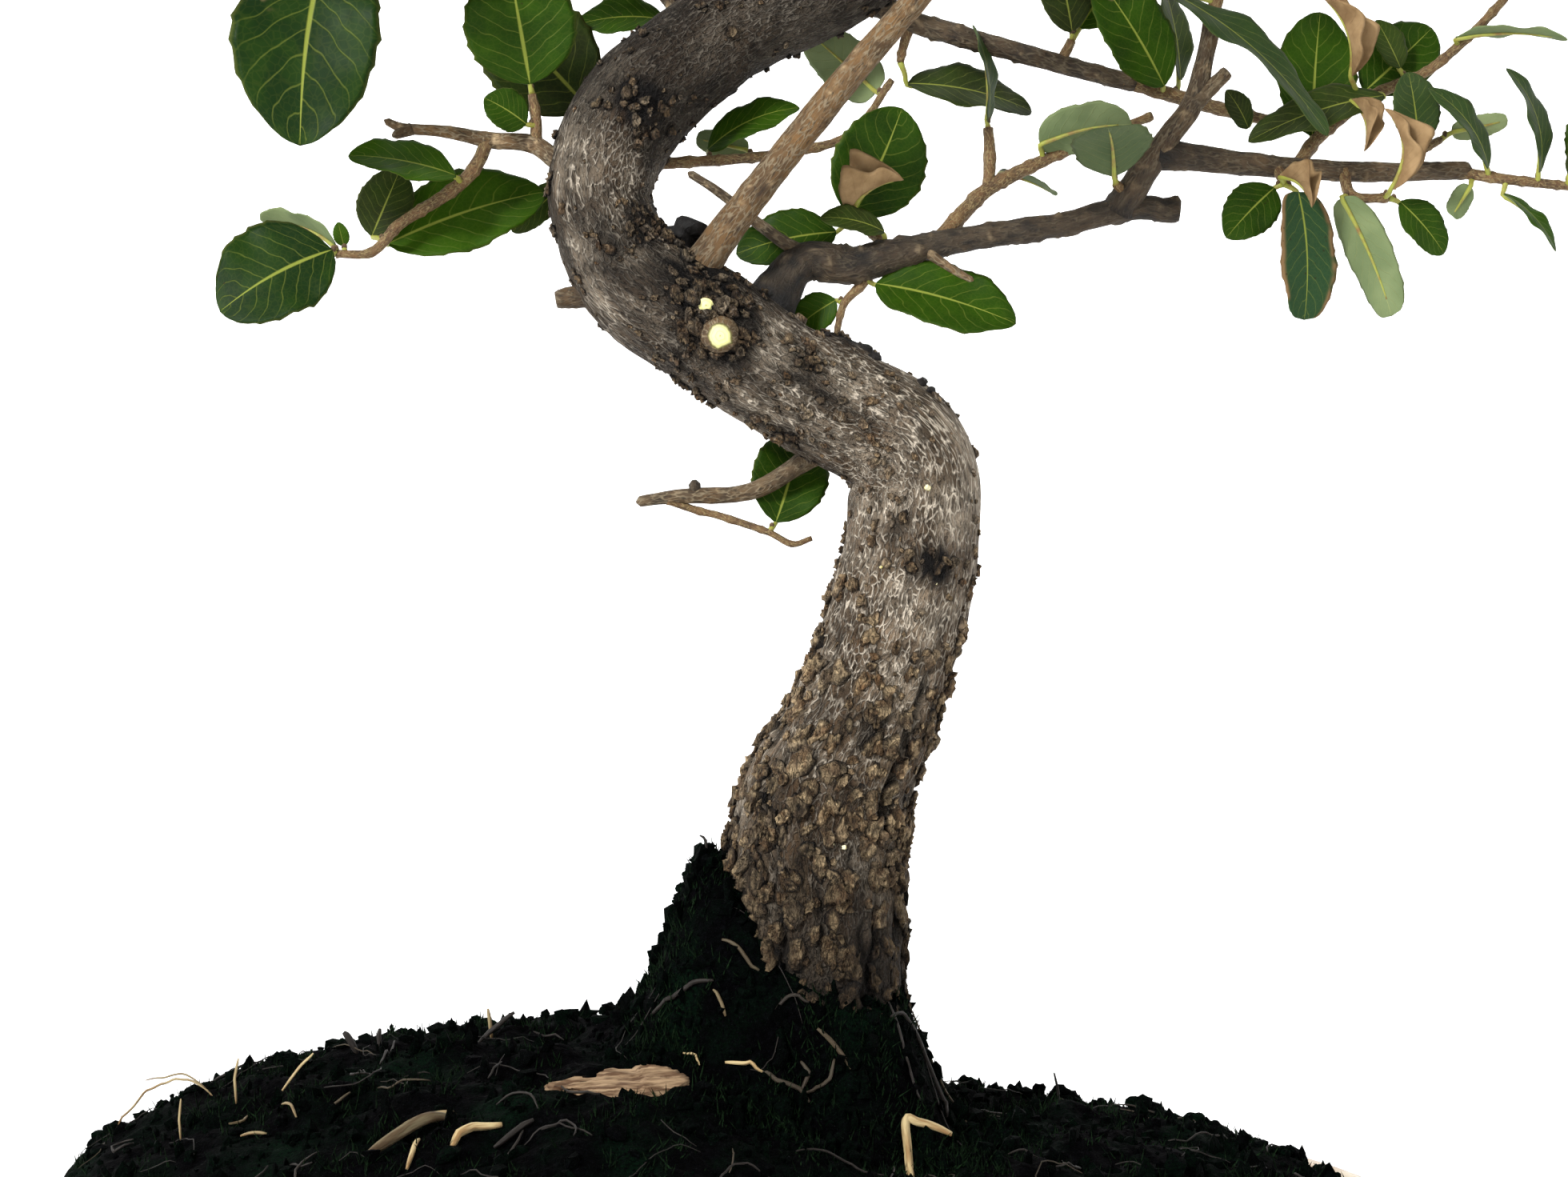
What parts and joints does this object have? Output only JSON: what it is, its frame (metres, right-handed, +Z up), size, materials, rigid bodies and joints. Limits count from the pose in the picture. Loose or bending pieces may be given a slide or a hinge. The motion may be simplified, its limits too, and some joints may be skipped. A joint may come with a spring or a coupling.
{
  "type": "cork oak bonsai",
  "caption": "Cork oak bonsai with a sinuous corky trunk, leafy shoots and a mounded soil bed in an oval glazed pot.",
  "frame": {"origin": "on the table surface, under the middle of the pot", "axes": "+Z up along the tree, +X to the right along the pot's length, -Y towards the viewer of the tree's front"},
  "size_m": [0.4583, 0.2739, 0.5066],
  "materials": {
    "bark": "grey-brown corky bark, matte",
    "leaf": "leathery green leaf, satin above and dull grey-green below",
    "soil": "dark crumbly soil with moss, matte",
    "glaze": "cream glaze, satin gloss",
    "screen": "black plastic net",
    "chip": "pinkish tan dry wood, matte",
    "straw": "dry straw, matte"
  },
  "bodies": {
    "root": {"crown_apex": "leaf", "crown_back_left": "leaf", "crown_back_tip": "leaf", "crown_front_shoot": "leaf", "crown_front_tip": "leaf", "crown_high_back": "leaf", "crown_high_left": "leaf", "crown_high_right": "leaf", "crown_left_back": "leaf", "crown_left_outer": "leaf", "crown_left_tip": "leaf", "crown_right_back": "leaf", "crown_right_front": "leaf", "crown_right_tip": "leaf", "crown_right_up": "leaf", "drain_screen_left": "screen", "drain_screen_right": "screen", "pot": "glaze", "shoot_back_end": "leaf", "shoot_back_low": "leaf", "shoot_back_middle": "leaf", "shoot_fork": "leaf", "shoot_fork_top": "leaf", "shoot_left_back": "leaf", "shoot_left_front": "leaf", "shoot_left_low": "leaf", "shoot_left_upper": "leaf", "shoot_low": "leaf", "shoot_middle": "leaf", "shoot_middle_back": "leaf", "shoot_middle_low": "leaf", "shoot_neck_up": "leaf", "shoot_right_end": "leaf", "shoot_right_hanging": "leaf", "shoot_right_middle": "leaf", "shoot_right_pale": "leaf", "shoot_right_up": "leaf", "shoot_top_back": "leaf", "soil": "soil", "stick_left": "straw", "straw_bent": "straw", "trunk": "bark", "wood_chip": "chip"}
  },
  "joints": []
}
